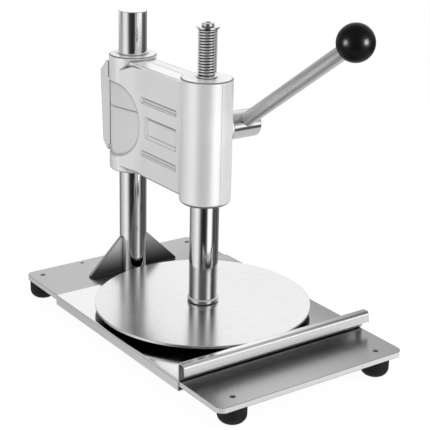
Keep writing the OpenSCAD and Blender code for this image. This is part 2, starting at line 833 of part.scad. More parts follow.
// Middle points of the wire, each with its turn; the two ends run straight on for one wire diameter
coil_path = concat([[coil_point(0) - wire_d * tangent(0), 0]],
                   [for (i = [0:coil_steps]) [coil_point(i / ring_count), i / ring_count]],
                   [[coil_point(spring_turns) + wire_d * tangent(spring_turns), spring_turns]]);
function wire_ring(p) = [for (k = [0:wire_sides - 1]) let (a = 360 * k / wire_sides)
    p[0] + wire_r * (cos(a) * radial(p[1]) + [0, 0, sin(a)])];
// Least gap between points of the wire that lie more than half a turn apart
coil_gap = min([for (i = [0:coil_steps], j = [i + ring_count / 2:min(coil_steps + 2, i + 2 * ring_count)])
    norm(coil_path[i][0] - coil_path[j][0]) - wire_d]);
echo("least gap between the spring's turns", coil_gap);

module return_spring() {
    rings = len(coil_path);
    points = [for (p = coil_path) each wire_ring(p)];
    tail = (rings - 1) * wire_sides;
    sides = [for (i = [0:rings - 2], k = [0:wire_sides - 1])
        let (a = i * wire_sides + k, b = i * wire_sides + (k + 1) % wire_sides)
        each [[a, a + wire_sides, b], [b, a + wire_sides, b + wire_sides]]];
    low_end = [for (k = [1:wire_sides - 2]) [0, k, k + 1]];
    high_end = [for (k = [1:wire_sides - 2]) [tail, tail + k + 1, tail + k]];
    color("lightgray") polyhedron(points = points, faces = concat(sides, low_end, high_end));
}

module spring_washer() {
    color("silver") translate([0, 0, washer_low]) sleeve(washer_d, top_screw_d + 2 * run_fit, washer_t);
}

module top_screw() {
    color("dimgray") translate([0, 0, washer_top]) difference() {
        union() {
            turned(top_head_d, top_head_h, edge / 2, top_head_round);
            translate([0, 0, overrun - washer_t - top_thread_l])
                cylinder(d = top_screw_d, h = washer_t + top_thread_l);
        }
        translate([0, 0, top_head_h]) hex_socket(top_screw_d, top_head_h / 2);
    }
}

// Pinion and lever

base_circle_r = pitch_r * cos(pressure_angle);
flank_start = max(base_circle_r, root_r);
flank_radii = [for (i = [0:flank_steps]) flank_start + (tip_r - flank_start) * i / flank_steps];
function involute(r) = let (a = acos(min(1, base_circle_r / r))) tan(a) * 180 / PI - a;
// Half the angle that a tooth takes up at a given radius
function half_tooth(r) = 90 / pinion_teeth - backlash / 2 / pitch_r * 180 / PI
    + involute(pitch_r) - involute(r);
function flank_point(r, side) = r * [cos(half_tooth(r)), side * sin(half_tooth(r))];

// One pinion tooth pointing along +X, its foot a little inside the root circle
module pinion_tooth() {
    foot_share = (root_r - tooth_module / 4) / flank_start;
    right = [for (r = flank_radii) flank_point(r, -1)];
    left = [for (i = [flank_steps:-1:0]) flank_point(flank_radii[i], 1)];
    polygon(concat([foot_share * right[0]], right, left, [foot_share * left[flank_steps]]));
}

module pinion_shaft() {
    color("gray") difference() {
        pinion_axis() {
            linear_extrude(pinion_w, center = true) rotate(-90) {
                circle(r = root_r);
                for (i = [0:pinion_teeth - 1])
                    rotate(360 * i / pinion_teeth) pinion_tooth();
            }
            translate([0, 0, -pinion_w / 2 - tail_l]) cylinder(d = tail_d, h = tail_l + overrun);
            cylinder(d = journal_d, h = hub_x);
            cylinder(d = hub_bore_d, h = hub_spigot_end);
        }
        // Cross hole that the lever's threaded end locks into
        lever_frame() translate([0, 0, -lever_tail - rest_gap])
            cylinder(d = lever_thread_d + 2 * seat_fit, h = hub_bore_d);
    }
}

module lever_hub() {
    color("lightgray") difference() {
        pinion_axis() translate([0, 0, hub_x]) turned(hub_d, hub_l, edge, hub_round);
        pinion_axis() cylinder(d = hub_bore_d + 2 * seat_fit, h = hub_spigot_end + mouth_inset / 2);
        lever_frame() {
            cylinder(d = lever_thread_d + 2 * seat_fit, h = hub_d);
            translate([0, 0, lever_seat]) cylinder(d = lever_d + 2 * seat_fit, h = hub_d);
        }
    }
}

module lever_rod() {
    color("silver") lever_frame() {
        translate([0, 0, lever_seat]) cylinder(d = lever_d, h = lever_l - knob_flat - lever_seat);
        translate([0, 0, -lever_tail])
            cylinder(d = lever_thread_d, h = lever_tail + lever_l - knob_flat + insert_l - overrun);
    }
}

module ball_knob() {
    color([0.02, 0.02, 0.02]) lever_frame() translate([0, 0, lever_l]) difference() {
        sphere(d = knob_d);
        translate([0, 0, -knob_d]) cylinder(d = knob_d, h = knob_d - knob_flat);
        translate([0, 0, -knob_flat - overrun])
            cylinder(d = insert_d + 2 * seat_fit, h = insert_l + seat_fit + overrun);
    }
}

module knob_insert() {
    color("darkgoldenrod") lever_frame() translate([0, 0, lever_l - knob_flat])
        sleeve(insert_d, lever_thread_d + 2 * seat_fit, insert_l);
}

base_plate();
foot_front_left();
foot_front_right();
foot_rear_left();
foot_rear_right();
foot_studs();
column();
column_bolt();
column_washer();
gusset_left();
gusset_right();
dough_tray();
head_casting();
clamp_screws();
clamp_washers();
lower_bush();
upper_bush();
rod_bush();
outer_pinion_bush();
inner_pinion_bush();
press_shaft();
plate_collar();
press_plate();
plate_screws();
return_spring();
spring_washer();
top_screw();
pinion_shaft();
lever_hub();
lever_rod();
ball_knob();
knob_insert();
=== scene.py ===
"""Manual pizza dough press: materials, light, floor, camera and the pieces that the frame lacks.
All lengths are in metres, in the frame of the CAD model: +Z up, the operator at -Y, the lever at +X."""

import json
import math

import bmesh
import bpy
from mathutils import Matrix, Vector


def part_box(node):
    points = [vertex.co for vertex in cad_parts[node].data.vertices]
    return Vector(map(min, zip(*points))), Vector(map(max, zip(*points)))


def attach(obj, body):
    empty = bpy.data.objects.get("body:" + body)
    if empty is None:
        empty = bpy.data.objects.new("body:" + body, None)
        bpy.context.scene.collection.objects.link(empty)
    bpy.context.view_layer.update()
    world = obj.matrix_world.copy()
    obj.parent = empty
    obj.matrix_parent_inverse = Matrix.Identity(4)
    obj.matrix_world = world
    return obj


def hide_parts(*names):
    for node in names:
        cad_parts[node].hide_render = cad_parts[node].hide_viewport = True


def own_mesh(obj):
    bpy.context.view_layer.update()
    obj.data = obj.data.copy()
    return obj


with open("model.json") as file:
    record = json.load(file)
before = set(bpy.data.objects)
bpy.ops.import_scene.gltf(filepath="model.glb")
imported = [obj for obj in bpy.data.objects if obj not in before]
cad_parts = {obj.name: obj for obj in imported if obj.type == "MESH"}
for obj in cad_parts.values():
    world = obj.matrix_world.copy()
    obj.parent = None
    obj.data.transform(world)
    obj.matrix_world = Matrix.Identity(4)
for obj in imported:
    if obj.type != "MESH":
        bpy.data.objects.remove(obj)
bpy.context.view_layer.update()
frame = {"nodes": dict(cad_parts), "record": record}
nodes = frame["nodes"]

# Places that several materials use, read from the frame's own nodes
head_low, head_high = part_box("head_casting")
base_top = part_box("base_plate")[1].z


# Camera, at the photograph's viewing angle

CAMERA_AZIMUTH = -35.611
CAMERA_ELEVATION = 19.737
CAMERA_ROLL = 1.268
CAMERA_DISTANCE = 1.39035
CAMERA_TARGET = Vector((0.03021, 0.02244, 0.12636))
CAMERA_LENS = 103.9


def toward(azimuth, elevation):
    """Direction by its azimuth from the camera's side and its elevation, in degrees."""
    around = math.radians(CAMERA_AZIMUTH + azimuth)
    above = math.radians(elevation)
    return Vector((math.sin(around) * math.cos(above), -math.cos(around) * math.cos(above), math.sin(above)))


def make_camera():
    back = toward(0, CAMERA_ELEVATION)
    level = Vector((0, 0, 1)).cross(back).normalized()
    upright = back.cross(level)
    roll = math.radians(CAMERA_ROLL)
    right = level * math.cos(roll) + upright * math.sin(roll)
    up = back.cross(right)
    camera = bpy.data.objects.new("camera", bpy.data.cameras.new("camera"))
    camera.data.lens = CAMERA_LENS
    camera.data.sensor_width = 36
    camera.data.clip_start = 0.05
    camera.data.clip_end = 20
    turn = Matrix((right, up, back)).transposed().to_4x4()
    camera.matrix_world = Matrix.Translation(CAMERA_TARGET + back * CAMERA_DISTANCE) @ turn
    bpy.context.scene.collection.objects.link(camera)
    bpy.context.scene.camera = camera


# Nodes that the studio and the materials are made of

def feed(tree, socket, value):
    """Links an output to a socket, or gives the socket a value of its own."""
    if isinstance(value, bpy.types.NodeSocket):
        tree.links.new(value, socket)
    else:
        socket.default_value = value


def new_node(tree, kind, inputs=None, **settings):
    """Adds a node, sets its attributes, then feeds its inputs."""
    node = tree.nodes.new(kind)
    for key, value in settings.items():
        setattr(node, key, value)
    for key, value in (inputs or {}).items():
        feed(tree, node.inputs[key], value)
    return node


def grey(level):
    return (level, level, level, 1.0)


def ramp(tree, factor, stops):
    """Colour ramp of grey levels: stops are (place from 0 to 1, level)."""
    node = new_node(tree, "ShaderNodeValToRGB", {"Fac": factor})
    elements = node.color_ramp.elements
    while len(elements) < len(stops):
        elements.new(0.5)
    for element, (place, level) in zip(elements, stops):
        element.position = place
        element.color = grey(level)
    return node.outputs["Color"]


def math_node(tree, operation, *values):
    return new_node(tree, "ShaderNodeMath", dict(enumerate(values)), operation=operation).outputs[0]


def product(tree, first, *others):
    for other in others:
        first = math_node(tree, "MULTIPLY", first, other)
    return first


def distance(tree, value, place):
    """How far a value is from a place, on either side of it."""
    return math_node(tree, "ABSOLUTE", math_node(tree, "SUBTRACT", value, place))


def blend_value(tree, share, a, b):
    """Value a where the share is 0, b where it is 1."""
    return new_node(tree, "ShaderNodeMix", {0: share, 2: a, 3: b}).outputs[0]


def blend_colour(tree, share, a, b):
    """Colour a where the share is 0, b where it is 1."""
    return new_node(tree, "ShaderNodeMix", {0: share, 6: a, 7: b}, data_type="RGBA").outputs[2]


def share_along(tree, value, low, high):
    """0 at low, 1 at high, smooth between them."""
    node = new_node(tree, "ShaderNodeMapRange", {"Value": value, "From Min": low, "From Max": high},
                    interpolation_type="SMOOTHSTEP")
    return node.outputs[0]


def share_between(tree, value, low, high, fade):
    """1 between low and high, 0 outside them, smooth over a fade inside either end."""
    return product(tree, share_along(tree, value, low, low + fade),
                   share_along(tree, value, high, high - fade))


def split(tree, vector):
    """X, Y and Z of a vector."""
    return new_node(tree, "ShaderNodeSeparateXYZ", {0: vector}).outputs


# Light: a soft studio, whose walls show in the polished bars as upright bands

# Azimuth from the camera's side, in degrees, and the brightness of the studio's lower wall there,
# which upright faces mirror
LOWER_WALL = [(-180, 0.30), (-150, 0.12), (-128, 0.26), (-110, 0.50), (-97, 0.56), (-86, 0.66),
              (-74, 0.85), (-62, 0.95), (-50, 0.90), (-40, 0.62), (-31, 0.25), (-22, 0.06), (-10, 0.02),
              (5, 0.02), (14, 0.05), (22, 0.20), (27, 0.70), (33, 1.2), (50, 1.25), (60, 1.05), (69, 0.20),
              (78, 0.05), (90, 0.07), (100, 0.12), (112, 0.05), (130, 0.15), (150, 0.25), (180, 0.30)]
# The same for nearly level directions, which round knobs and level bars mirror
MIDDLE_WALL = [(-180, 0.25), (-165, 0.30), (-150, 0.5), (-136, 1.1), (-122, 0.7), (-109, 0.22),
               (-95, 0.25), (-80, 0.7), (-60, 0.95), (-45, 0.8), (-32, 0.25), (-22, 0.05), (18, 0.03),
               (30, 0.5), (40, 1.2), (50, 1.35), (78, 1.35), (86, 0.3), (95, 0.12), (115, 0.1), (135, 0.25),
               (160, 0.3), (180, 0.25)]
# The same for the wall above it, up to the ceiling, which level faces mirror
HIGH_WALL = [(-180, 1.15), (-155, 0.95), (-130, 0.55), (-100, 0.5), (-60, 0.55), (-25, 0.4), (0, 0.32),
             (20, 0.4), (45, 0.6), (75, 0.5), (90, 0.5), (115, 0.55), (140, 0.95), (180, 1.15)]
# The same for its upper part, as metal that shows in other metal mirrors it: dark over the camera
UPPER_WALL = [(-180, 1.15), (-155, 0.9), (-130, 0.10), (-100, 0.08), (-72, 0.6), (-57, 1.1), (-44, 1.0),
              (-33, 0.3), (-20, 0.10), (8, 0.08), (24, 0.16), (34, 0.7), (44, 1.25), (58, 1.0), (67, 0.03),
              (90, 0.02), (115, 0.35), (140, 0.95), (180, 1.15)]
# Heights, as the upward share of a direction, between which one band blends into the next
LOWER_STARTS = (-0.56, -0.46)
MIDDLE_STARTS = (-0.24, -0.16)
HIGH_STARTS = (0.08, 0.16)
UPPER_STARTS = (0.27, 0.33)
CEILING_STARTS = (0.62, 0.90)
FLOOR_LIGHT = 0.75
CEILING_LIGHT = 0.45
# What paint, rubber and floor receive from every side
FILL_LIGHT = 0.75
# Limit of the depth of a mirrored ray: from the first surface it reaches the studio with a depth of 2, and
# from a later one with more
FIRST_REFLECTION = 2.5
# Added to an azimuth in turns, so that it stays above 0 and the camera's side lies halfway along the turn
AZIMUTH_SHIFT = 1.5


def make_world():
    world = bpy.data.worlds.new("studio")
    bpy.context.scene.world = world
    # Rays find the studio by themselves: sampled as a lamp, it would show its fill light in glossy metal
    world.cycles.sampling_method = "NONE"
    world.use_nodes = True
    tree = world.node_tree
    tree.nodes.clear()
    direction = new_node(tree, "ShaderNodeTexCoord").outputs["Generated"]
    axes = split(tree, direction)
    # Azimuth of the direction, as 0 to 1 over the full turn
    forward = math_node(tree, "MULTIPLY", axes[1], -1.0)
    azimuth = math_node(tree, "ARCTAN2", axes[0], forward)
    offset = math_node(tree, "SUBTRACT", azimuth, math.radians(CAMERA_AZIMUTH))
    turns = math_node(tree, "DIVIDE", offset, 2 * math.pi)
    turn = math_node(tree, "FRACT", math_node(tree, "ADD", turns, AZIMUTH_SHIFT))
    lower, middle, high, upper = (
        ramp(tree, turn, [((degrees + 180) / 360, level) for degrees, level in wall])
        for wall in (LOWER_WALL, MIDDLE_WALL, HIGH_WALL, UPPER_WALL))
    rays = new_node(tree, "ShaderNodeLightPath").outputs
    twice = math_node(tree, "GREATER_THAN", rays["Ray Depth"], FIRST_REFLECTION)
    upper = blend_colour(tree, twice, high, upper)
    studio = grey(FLOOR_LIGHT)
    for above, starts in ((lower, LOWER_STARTS), (middle, MIDDLE_STARTS), (high, HIGH_STARTS),
                          (upper, UPPER_STARTS), (grey(CEILING_LIGHT), CEILING_STARTS)):
        studio = blend_colour(tree, share_along(tree, axes[2], *starts), studio, above)
    mirrored = math_node(tree, "MAXIMUM", rays["Is Glossy Ray"], rays["Is Transmission Ray"])
    light = blend_colour(tree, mirrored, grey(FILL_LIGHT), studio)
    colour = blend_colour(tree, rays["Is Camera Ray"], light, grey(1.0))
    background = new_node(tree, "ShaderNodeBackground", {"Color": colour, "Strength": 1.0})
    new_node(tree, "ShaderNodeOutputWorld", {"Surface": background.outputs[0]})


def area_light(name, place, aim, width, height, power, only=None):
    """A soft box that lights paint, rubber and floor; polished metal mirrors the studio's walls instead.
    One that is named for a single node shows in its gloss, and lights nothing else."""
    data = bpy.data.lights.new(name, "AREA")
    data.shape = "RECTANGLE"
    data.size = width
    data.size_y = height
    data.energy = power
    lamp = bpy.data.objects.new(name, data)
    place = Vector(place)
    lamp.location = place
    lamp.rotation_mode = "QUATERNION"
    lamp.rotation_quaternion = (Vector(aim) - place).to_track_quat("-Z", "Y")
    lamp.visible_camera = False
    lamp.visible_glossy = only is not None
    if only:
        lit = bpy.data.collections.new(name + "_lit")
        lit.objects.link(nodes[only])
        lamp.light_linking.receiver_collection = lit
    bpy.context.scene.collection.objects.link(lamp)


PRESS_MIDDLE = (0.0, 0.03, 0.18)
KEY_PLACE = (0.95, -1.1, 0.6)
SIDE_PLACE = (-1.45, -0.1, 0.25)
TOP_PLACE = (0.1, 0.1, 1.6)
KNOB_LAMP_DISTANCE = 1.3


def make_lights():
    """A box over the operator's right shoulder, a weaker one on the left, a soft top light, and two
    boxes that only the knob mirrors."""
    area_light("key_box", KEY_PLACE, PRESS_MIDDLE, width=0.5, height=0.9, power=18.0)
    area_light("side_box", SIDE_PLACE, PRESS_MIDDLE, width=0.6, height=0.8, power=5.0)
    low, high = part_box("ball_knob")
    knob = (low + high) / 2
    right = knob + toward(azimuth=58, elevation=10) * KNOB_LAMP_DISTANCE
    left = knob + toward(azimuth=-66, elevation=4) * KNOB_LAMP_DISTANCE
    area_light("knob_right", right, knob, width=0.42, height=0.46, power=85.0, only="ball_knob")
    area_light("knob_left", left, knob, width=0.42, height=0.42, power=55.0, only="ball_knob")
    area_light("top_box", TOP_PLACE, PRESS_MIDDLE, width=0.9, height=0.9, power=6.0)


FLOOR_HALF = 3.0
FLOOR_GREY = 0.85
# Brightness of the floor's own glow, and the share of it that the camera sees
FLOOR_GLOW = 1.02
FLOOR_GLOW_SHARE = 0.94


def make_floor():
    """White floor: to the camera it mostly glows by itself, so the shadow on it stays faint."""
    corners = [(-FLOOR_HALF, -FLOOR_HALF, 0), (FLOOR_HALF, -FLOOR_HALF, 0), (FLOOR_HALF, FLOOR_HALF, 0),
               (-FLOOR_HALF, FLOOR_HALF, 0)]
    mesh = bpy.data.meshes.new("floor")
    mesh.from_pydata(corners, [], [(0, 1, 2, 3)])
    floor = bpy.data.objects.new("floor", mesh)
    bpy.context.scene.collection.objects.link(floor)
    floor.visible_glossy = False
    material = bpy.data.materials.new("floor_white")
    material.use_nodes = True
    tree = material.node_tree
    tree.nodes.clear()
    diffuse = new_node(tree, "ShaderNodeBsdfDiffuse", {"Color": grey(FLOOR_GREY)})
    glow = new_node(tree, "ShaderNodeEmission", {"Color": grey(1.0), "Strength": FLOOR_GLOW})
    rays = new_node(tree, "ShaderNodeLightPath").outputs
    share = math_node(tree, "MULTIPLY", rays["Is Camera Ray"], FLOOR_GLOW_SHARE)
    mixed = new_node(tree, "ShaderNodeMixShader", {0: share, 1: diffuse.outputs[0], 2: glow.outputs[0]})
    new_node(tree, "ShaderNodeOutputMaterial", {"Surface": mixed.outputs[0]})
    mesh.materials.append(material)


# What the materials share

# Scale of the brushing and grinding lines, and of a fine grain
GRAIN = 60.0
FINE = 900.0
# Levels between which most of the noise lies
NOISE_LOW = 0.3
NOISE_HIGH = 0.7


def new_material(name, metallic, **sockets):
    """A Principled material; sockets name further inputs, with underscores for spaces."""
    material = bpy.data.materials.new(name)
    material.use_nodes = True
    tree = material.node_tree
    shader = tree.nodes["Principled BSDF"]
    shader.inputs["Metallic"].default_value = metallic
    for key, value in sockets.items():
        shader.inputs[key.replace("_", " ")].default_value = value
    return material, tree, shader


def object_axes(tree):
    """X, Y and Z of the shaded point."""
    return split(tree, new_node(tree, "ShaderNodeTexCoord").outputs["Object"])


def facing_axes(tree):
    """X, Y and Z of the direction in which the shaded face looks."""
    return split(tree, new_node(tree, "ShaderNodeNewGeometry").outputs["True Normal"])


def noise(tree, scale, stretch=(1, 1, 1), detail=2.0, roughness=0.5, tilt=0.0):
    """Noise from 0 to 1 in object space, tilted about X; a larger stretch makes it finer along that axis."""
    place = new_node(tree, "ShaderNodeTexCoord").outputs["Object"]
    if tilt:
        turned = new_node(tree, "ShaderNodeMapping", {"Vector": place, "Rotation": (tilt, 0.0, 0.0)})
        place = turned.outputs[0]
    mapped = new_node(tree, "ShaderNodeMapping", {"Vector": place, "Scale": stretch}).outputs[0]
    node = new_node(tree, "ShaderNodeTexNoise",
                    {"Vector": mapped, "Scale": scale, "Detail": detail, "Roughness": roughness})
    return node.outputs["Fac"]


def vary(tree, shader, socket, factor, low, high):
    """Drives one of the shader's inputs from low to high by noise."""
    node = new_node(tree, "ShaderNodeMapRange", {"Value": factor, "To Min": low, "To Max": high,
                                                 "From Min": NOISE_LOW, "From Max": NOISE_HIGH})
    feed(tree, shader.inputs[socket], node.outputs[0])


def noise_grey(tree, factor, dark, light):
    """Grey from dark to light by noise."""
    return ramp(tree, factor, [(NOISE_LOW, dark), (NOISE_HIGH, light)])


def bump(tree, shader, height, depth, normal=None):
    inputs = {"Height": height, "Distance": depth}
    if normal is not None:
        inputs["Normal"] = normal
    feed(tree, shader.inputs["Normal"], new_node(tree, "ShaderNodeBump", inputs).outputs[0])


def paint(tree, colour, share, level):
    """Lays a grey level over a colour, by a share from 0 to 1."""
    return blend_colour(tree, share, colour, grey(level))


def paint_corner_shade(tree, colour, level, reach, full=0.35, none=0.85):
    """Painted shade: lays a grey level into tight corners, looking as far as reach. Full and none are the
    shares of open directions at which it is full and at which it ends."""
    opening = new_node(tree, "ShaderNodeAmbientOcclusion", {"Distance": reach}, samples=16).outputs["AO"]
    return blend_colour(tree, share_along(tree, opening, full, none), grey(level), colour)


def edge_share(tree, reach, none=0.995, full=0.90):
    """0 on an open face, towards 1 along the model's edges, out to the given reach. None and full are how
    well the rounded face still agrees with the plain one where the edge starts and where it is full."""
    rounded = new_node(tree, "ShaderNodeBevel", {"Radius": reach}, samples=16).outputs[0]
    plain = new_node(tree, "ShaderNodeNewGeometry").outputs["Normal"]
    agreement = new_node(tree, "ShaderNodeVectorMath", {0: rounded, 1: plain}, operation="DOT_PRODUCT")
    return share_along(tree, agreement.outputs["Value"], none, full)


# Brushed sheet: the base with its webs, the tray and the round plate

# Share of the lines in the brushing, where the rest is cloudiness
LINES_SHARE = 0.8
SHEET_STRETCH = (0.8, 22.0, 22.0)
SHEET_CLOUDS = 9.0
# Direction across the lines, of use on level and on upright faces alike
ACROSS_LINES = (0.0, 0.7, 0.7)
# Painted shade: the sheets darken between these places, towards the lever's side and away from the back,
# for a dimmer reflection there
PAINTED_SHADE_X = (-0.04, 0.12)
PAINTED_SHADE_Y = (0.24, 0.06)
# How level a face is, where its finish turns from that of upright faces to that of flat ones
UPRIGHT_TO_FLAT = (0.3, 0.8)


def brushed_lines(tree, stretch, cloud_scale):
    """Fine lines by themselves, and with a little cloudiness."""
    lines = noise(tree, GRAIN, stretch, detail=4.0, roughness=0.7)
    clouds = noise(tree, cloud_scale)
    both = math_node(tree, "ADD", math_node(tree, "MULTIPLY", lines, LINES_SHARE),
                     math_node(tree, "MULTIPLY", clouds, 1 - LINES_SHARE))
    return lines, both


def brushed_sheet(name, greys, roughness, depth, anisotropy, shade):
    """Brushed stainless sheet: fine lines along X, in colour, roughness and bump, with reflections that blur
    across them. Greys and roughness each run from low to high. The shade is the grey of a painted shade:
    the colour darkens to it towards the lever's side, for a dimmer reflection there."""
    material, tree, shader = new_material(name, metallic=1.0, Anisotropic=anisotropy)
    across = new_node(tree, "ShaderNodeCombineXYZ", dict(enumerate(ACROSS_LINES)))
    feed(tree, shader.inputs["Tangent"], across.outputs[0])
    lines, both = brushed_lines(tree, SHEET_STRETCH, SHEET_CLOUDS)
    vary(tree, shader, "Roughness", both, *roughness)
    bump(tree, shader, lines, depth)
    axes = object_axes(tree)
    # Painted shade: the colour darkens towards the lever's side, for a dimmer reflection there
    painted_shade_share = product(tree, share_along(tree, axes[0], *PAINTED_SHADE_X), share_along(tree, axes[1], *PAINTED_SHADE_Y))
    colour = paint(tree, noise_grey(tree, both, *greys), painted_shade_share, shade)
    return material, tree, shader, colour


def dress_uprights(tree, shader, colour, upright, metallic, roughness):
    """Upright faces were brushed with a coarser belt: they take a metallic share and a roughness of their
    own, and a colour of their own, which is painted light that sets how bright they look. Returns the
    colour of the whole sheet."""
    flat = share_along(tree, math_node(tree, "ABSOLUTE", facing_axes(tree)[2]), *UPRIGHT_TO_FLAT)
    fine = shader.inputs["Roughness"].links[0].from_socket
    feed(tree, shader.inputs["Roughness"], blend_value(tree, flat, roughness, fine))
    feed(tree, shader.inputs["Metallic"], blend_value(tree, flat, metallic, 1.0))
    # Painted light: the upright faces take a colour of their own
    return blend_colour(tree, flat, upright, colour)


# Grey of the base's edges, which is painted light that sets how bright they look, their metallic share,
# and the metallic share of the webs that stand on it
EDGE_GREY = 0.55
EDGE_METALLIC = 0.2
WEB_METALLIC = 0.5
# Painted reflection on the webs: their grey at the foot and at the top, and the height over which one
# turns into the other
LEFT_WEB_FOOT = 0.05
LEFT_WEB_TOP = 0.85
RIGHT_WEB_FOOT = 0.01
RIGHT_WEB_TOP = 0.45
WEB_FADE = 0.05
# Height over which the base's edges end and the webs begin
WEB_START = 0.0004
# Painted shade: a dark line along the base's edges
BASE_LINE_REACH = 0.0011
BASE_EDGE_SHADE_GREY = 0.1


def base_steel():
    """The base's sheet. Its webs are painted darker towards their foot: a painted reflection of its shaded
    middle.
    """
    material, tree, shader, colour = brushed_sheet("base_steel", greys=(0.43, 0.49), roughness=(0.2, 0.25),
                                                   depth=0.000006, anisotropy=0.7, shade=0.3)
    axes = object_axes(tree)
    left = math_node(tree, "LESS_THAN", axes[0], 0.0)
    # Painted reflection: the webs darken towards their foot
    foot = blend_colour(tree, left, grey(RIGHT_WEB_FOOT), grey(LEFT_WEB_FOOT))
    top = blend_colour(tree, left, grey(RIGHT_WEB_TOP), grey(LEFT_WEB_TOP))
    web_painted_reflection = blend_colour(tree, share_along(tree, axes[2], base_top, base_top + WEB_FADE), foot, top)
    above = share_along(tree, axes[2], base_top, base_top + WEB_START)
    # Painted light on the base's edges, with the webs' painted reflection above them
    upright = blend_colour(tree, above, grey(EDGE_GREY), web_painted_reflection)
    metallic = blend_value(tree, above, EDGE_METALLIC, WEB_METALLIC)
    colour = dress_uprights(tree, shader, colour, upright, metallic, roughness=0.4)
    # Painted shade along the base's edges
    colour = paint(tree, colour, edge_share(tree, BASE_LINE_REACH), BASE_EDGE_SHADE_GREY)
    feed(tree, shader.inputs["Base Color"], colour)
    return material


def tray_steel():
    """The tray's brighter sheet, with painted shade in the fold of its lip and in its other tight corners.
    """
    material, tree, shader, colour = brushed_sheet("tray_steel", greys=(0.77, 0.83), roughness=(0.10, 0.15),
                                                   depth=0.000004, anisotropy=0.6, shade=0.26)
    # Painted light: the tray's upright faces, its lip's front among them, are white to look brighter
    colour = dress_uprights(tree, shader, colour, grey(1.0), metallic=1.0, roughness=0.22)
    # Painted shade in the fold of the lip and in the gap under the plate
    colour = paint_corner_shade(tree, colour, level=0.02, reach=0.012, full=0.2, none=0.55)
    feed(tree, shader.inputs["Base Color"], colour)
    return material


PLATE_STRETCH = (0.6, 40.0, 1.0)
PLATE_CLOUDS = 7.0
# How far down a face of the plate looks, where it turns into the one painted dark as painted shade
PLATE_UNDERSIDE = (-0.6, -0.95)
PLATE_UNDER_SHADE_GREY = 0.06


def plate_steel():
    """The round plate: fine straight brushing above, and a face below, which meets the dough, painted dark
    as painted shade.
    """
    material, tree, shader = new_material("plate_steel", metallic=1.0)
    lines, both = brushed_lines(tree, PLATE_STRETCH, PLATE_CLOUDS)
    # Painted shade: the face below is coloured dark
    under = share_along(tree, facing_axes(tree)[2], *PLATE_UNDERSIDE)
    colour = paint(tree, noise_grey(tree, both, dark=0.66, light=0.83), under, PLATE_UNDER_SHADE_GREY)
    feed(tree, shader.inputs["Base Color"], colour)
    vary(tree, shader, "Roughness", both, low=0.16, high=0.25)
    bump(tree, shader, lines, depth=0.000004)
    return material


# Turned and ground bars

LEVER_TILT = math.radians(34.4)
# Brightness of a grinding line, and the least and the most roughness, as shares of the bar's own
LINE_LEVEL = 0.94
SMOOTHEST = 0.8
ROUGHEST = 1.3


def polished_bar(name, level, roughness, stretch, tilt=0.0, detail=3.0, depth=0.000004, corner_reach=0.003,
                 corner_shade_level=0.03, anisotropy=0.0):
    """Ground and polished bar: a bright metal with faint grinding lines, and painted shade in its corners.
    With some anisotropy, reflections blur along its length, which tilts from the level by the given angle."""
    material, tree, shader = new_material(name, metallic=1.0, Anisotropic=anisotropy)
    if anisotropy:
        along = new_node(tree, "ShaderNodeCombineXYZ", {0: 0.0, 1: -math.cos(tilt), 2: math.sin(tilt)})
        feed(tree, shader.inputs["Tangent"], along.outputs[0])
    lines = noise(tree, GRAIN, stretch, detail=detail, tilt=tilt)
    colour = noise_grey(tree, lines, dark=level * LINE_LEVEL, light=level)
    # Painted shade in the bar's corners
    if corner_reach:
        colour = paint_corner_shade(tree, colour, corner_shade_level, corner_reach)
    feed(tree, shader.inputs["Base Color"], colour)
    vary(tree, shader, "Roughness", lines, roughness * SMOOTHEST, roughness * ROUGHEST)
    bump(tree, shader, lines, depth)
    return material


def rod_steel():
    """The lever's rod: soft grinding along its length."""
    return polished_bar("rod_steel", level=0.72, roughness=0.345, stretch=(5.0, 0.2, 5.0), tilt=LEVER_TILT,
                        detail=0.0, depth=0.000001, corner_reach=0.0, anisotropy=1.0)


# The casting's coat

# Seam of the casting's two halves, along its middle: half widths of its dark core and of all of it
SEAM = (0.00016, 0.0004)
# Painted shade lines on the coat: half widths of all of the line, and of its dark core
THIN_LINE = (0.0007, 0.0003)
RIDGE_LINE = (0.0006, 0.0003)
LUG_LINE = (0.0014, 0.0009)
# Round side panel: its centre, radius, the width over which it fades, and the height of its step above
# the centre
PANEL_Y = 0.148
PANEL_Z = head_low.z + 0.062
PANEL_R = 0.0435
PANEL_FADE = 0.001
PANEL_STEP = 0.0148
# Where the panel ends at the back, and half of its height there
PANEL_BACK = (0.1645, 0.163)
PANEL_BACK_HALF = 0.0404
# How far below its centre the panel's rim starts to take painted light and fully takes it, and the rim's
# reach inward and outward
ARC_DROP = (0.02, 0.03)
ARC_INWARD = 0.002
ARC_OUTWARD = 0.003
# Painted shade line, upright, where the clamp's lug meets the boss, and how far it steps forward beside
# the panel
LUG_LINE_Y = 0.1808
LUG_LINE_STEP = 0.0033
# The arm's crowned top: its height, how far below it the painted shade lines start and are full, the ends
# of its open run with the length over which the lines fade there, and how far its slopes reach from the
# middle
ARM_TOP_Z = 0.2865
ARM_TOP_START = (0.0030, 0.0025)
ARM_RUN = (0.028, 0.120)
ARM_RUN_FADE = 0.001
ARM_SLOPE_X = 0.0163
# Stretch of the arm that holds the pocket, with the length over which it ends, the pocket's upper limit,
# and the distances from the middle of the head that lie just under the face of the arm's cheek
POCKET_RUN = (0.05, 0.13)
POCKET_FADE = 0.005
POCKET_TOP = (0.26, 0.258)
UNDER_CHEEK_X = (0.0189, 0.0187)
# Heights between which the bosses' rounded upper edges begin
RIM_START = (head_high.z - 0.0053, head_high.z - 0.0048)
# How far down, up or forward a face looks: undersides, the two ends of a rounded edge, and a wall that
# faces the operator
UNDERSIDE = (-0.15, -0.5)
ROUND_FOOT = (0.2, 0.5)
ROUND_TOP = (0.99, 0.93)
FORWARD = (-0.3, -0.5)
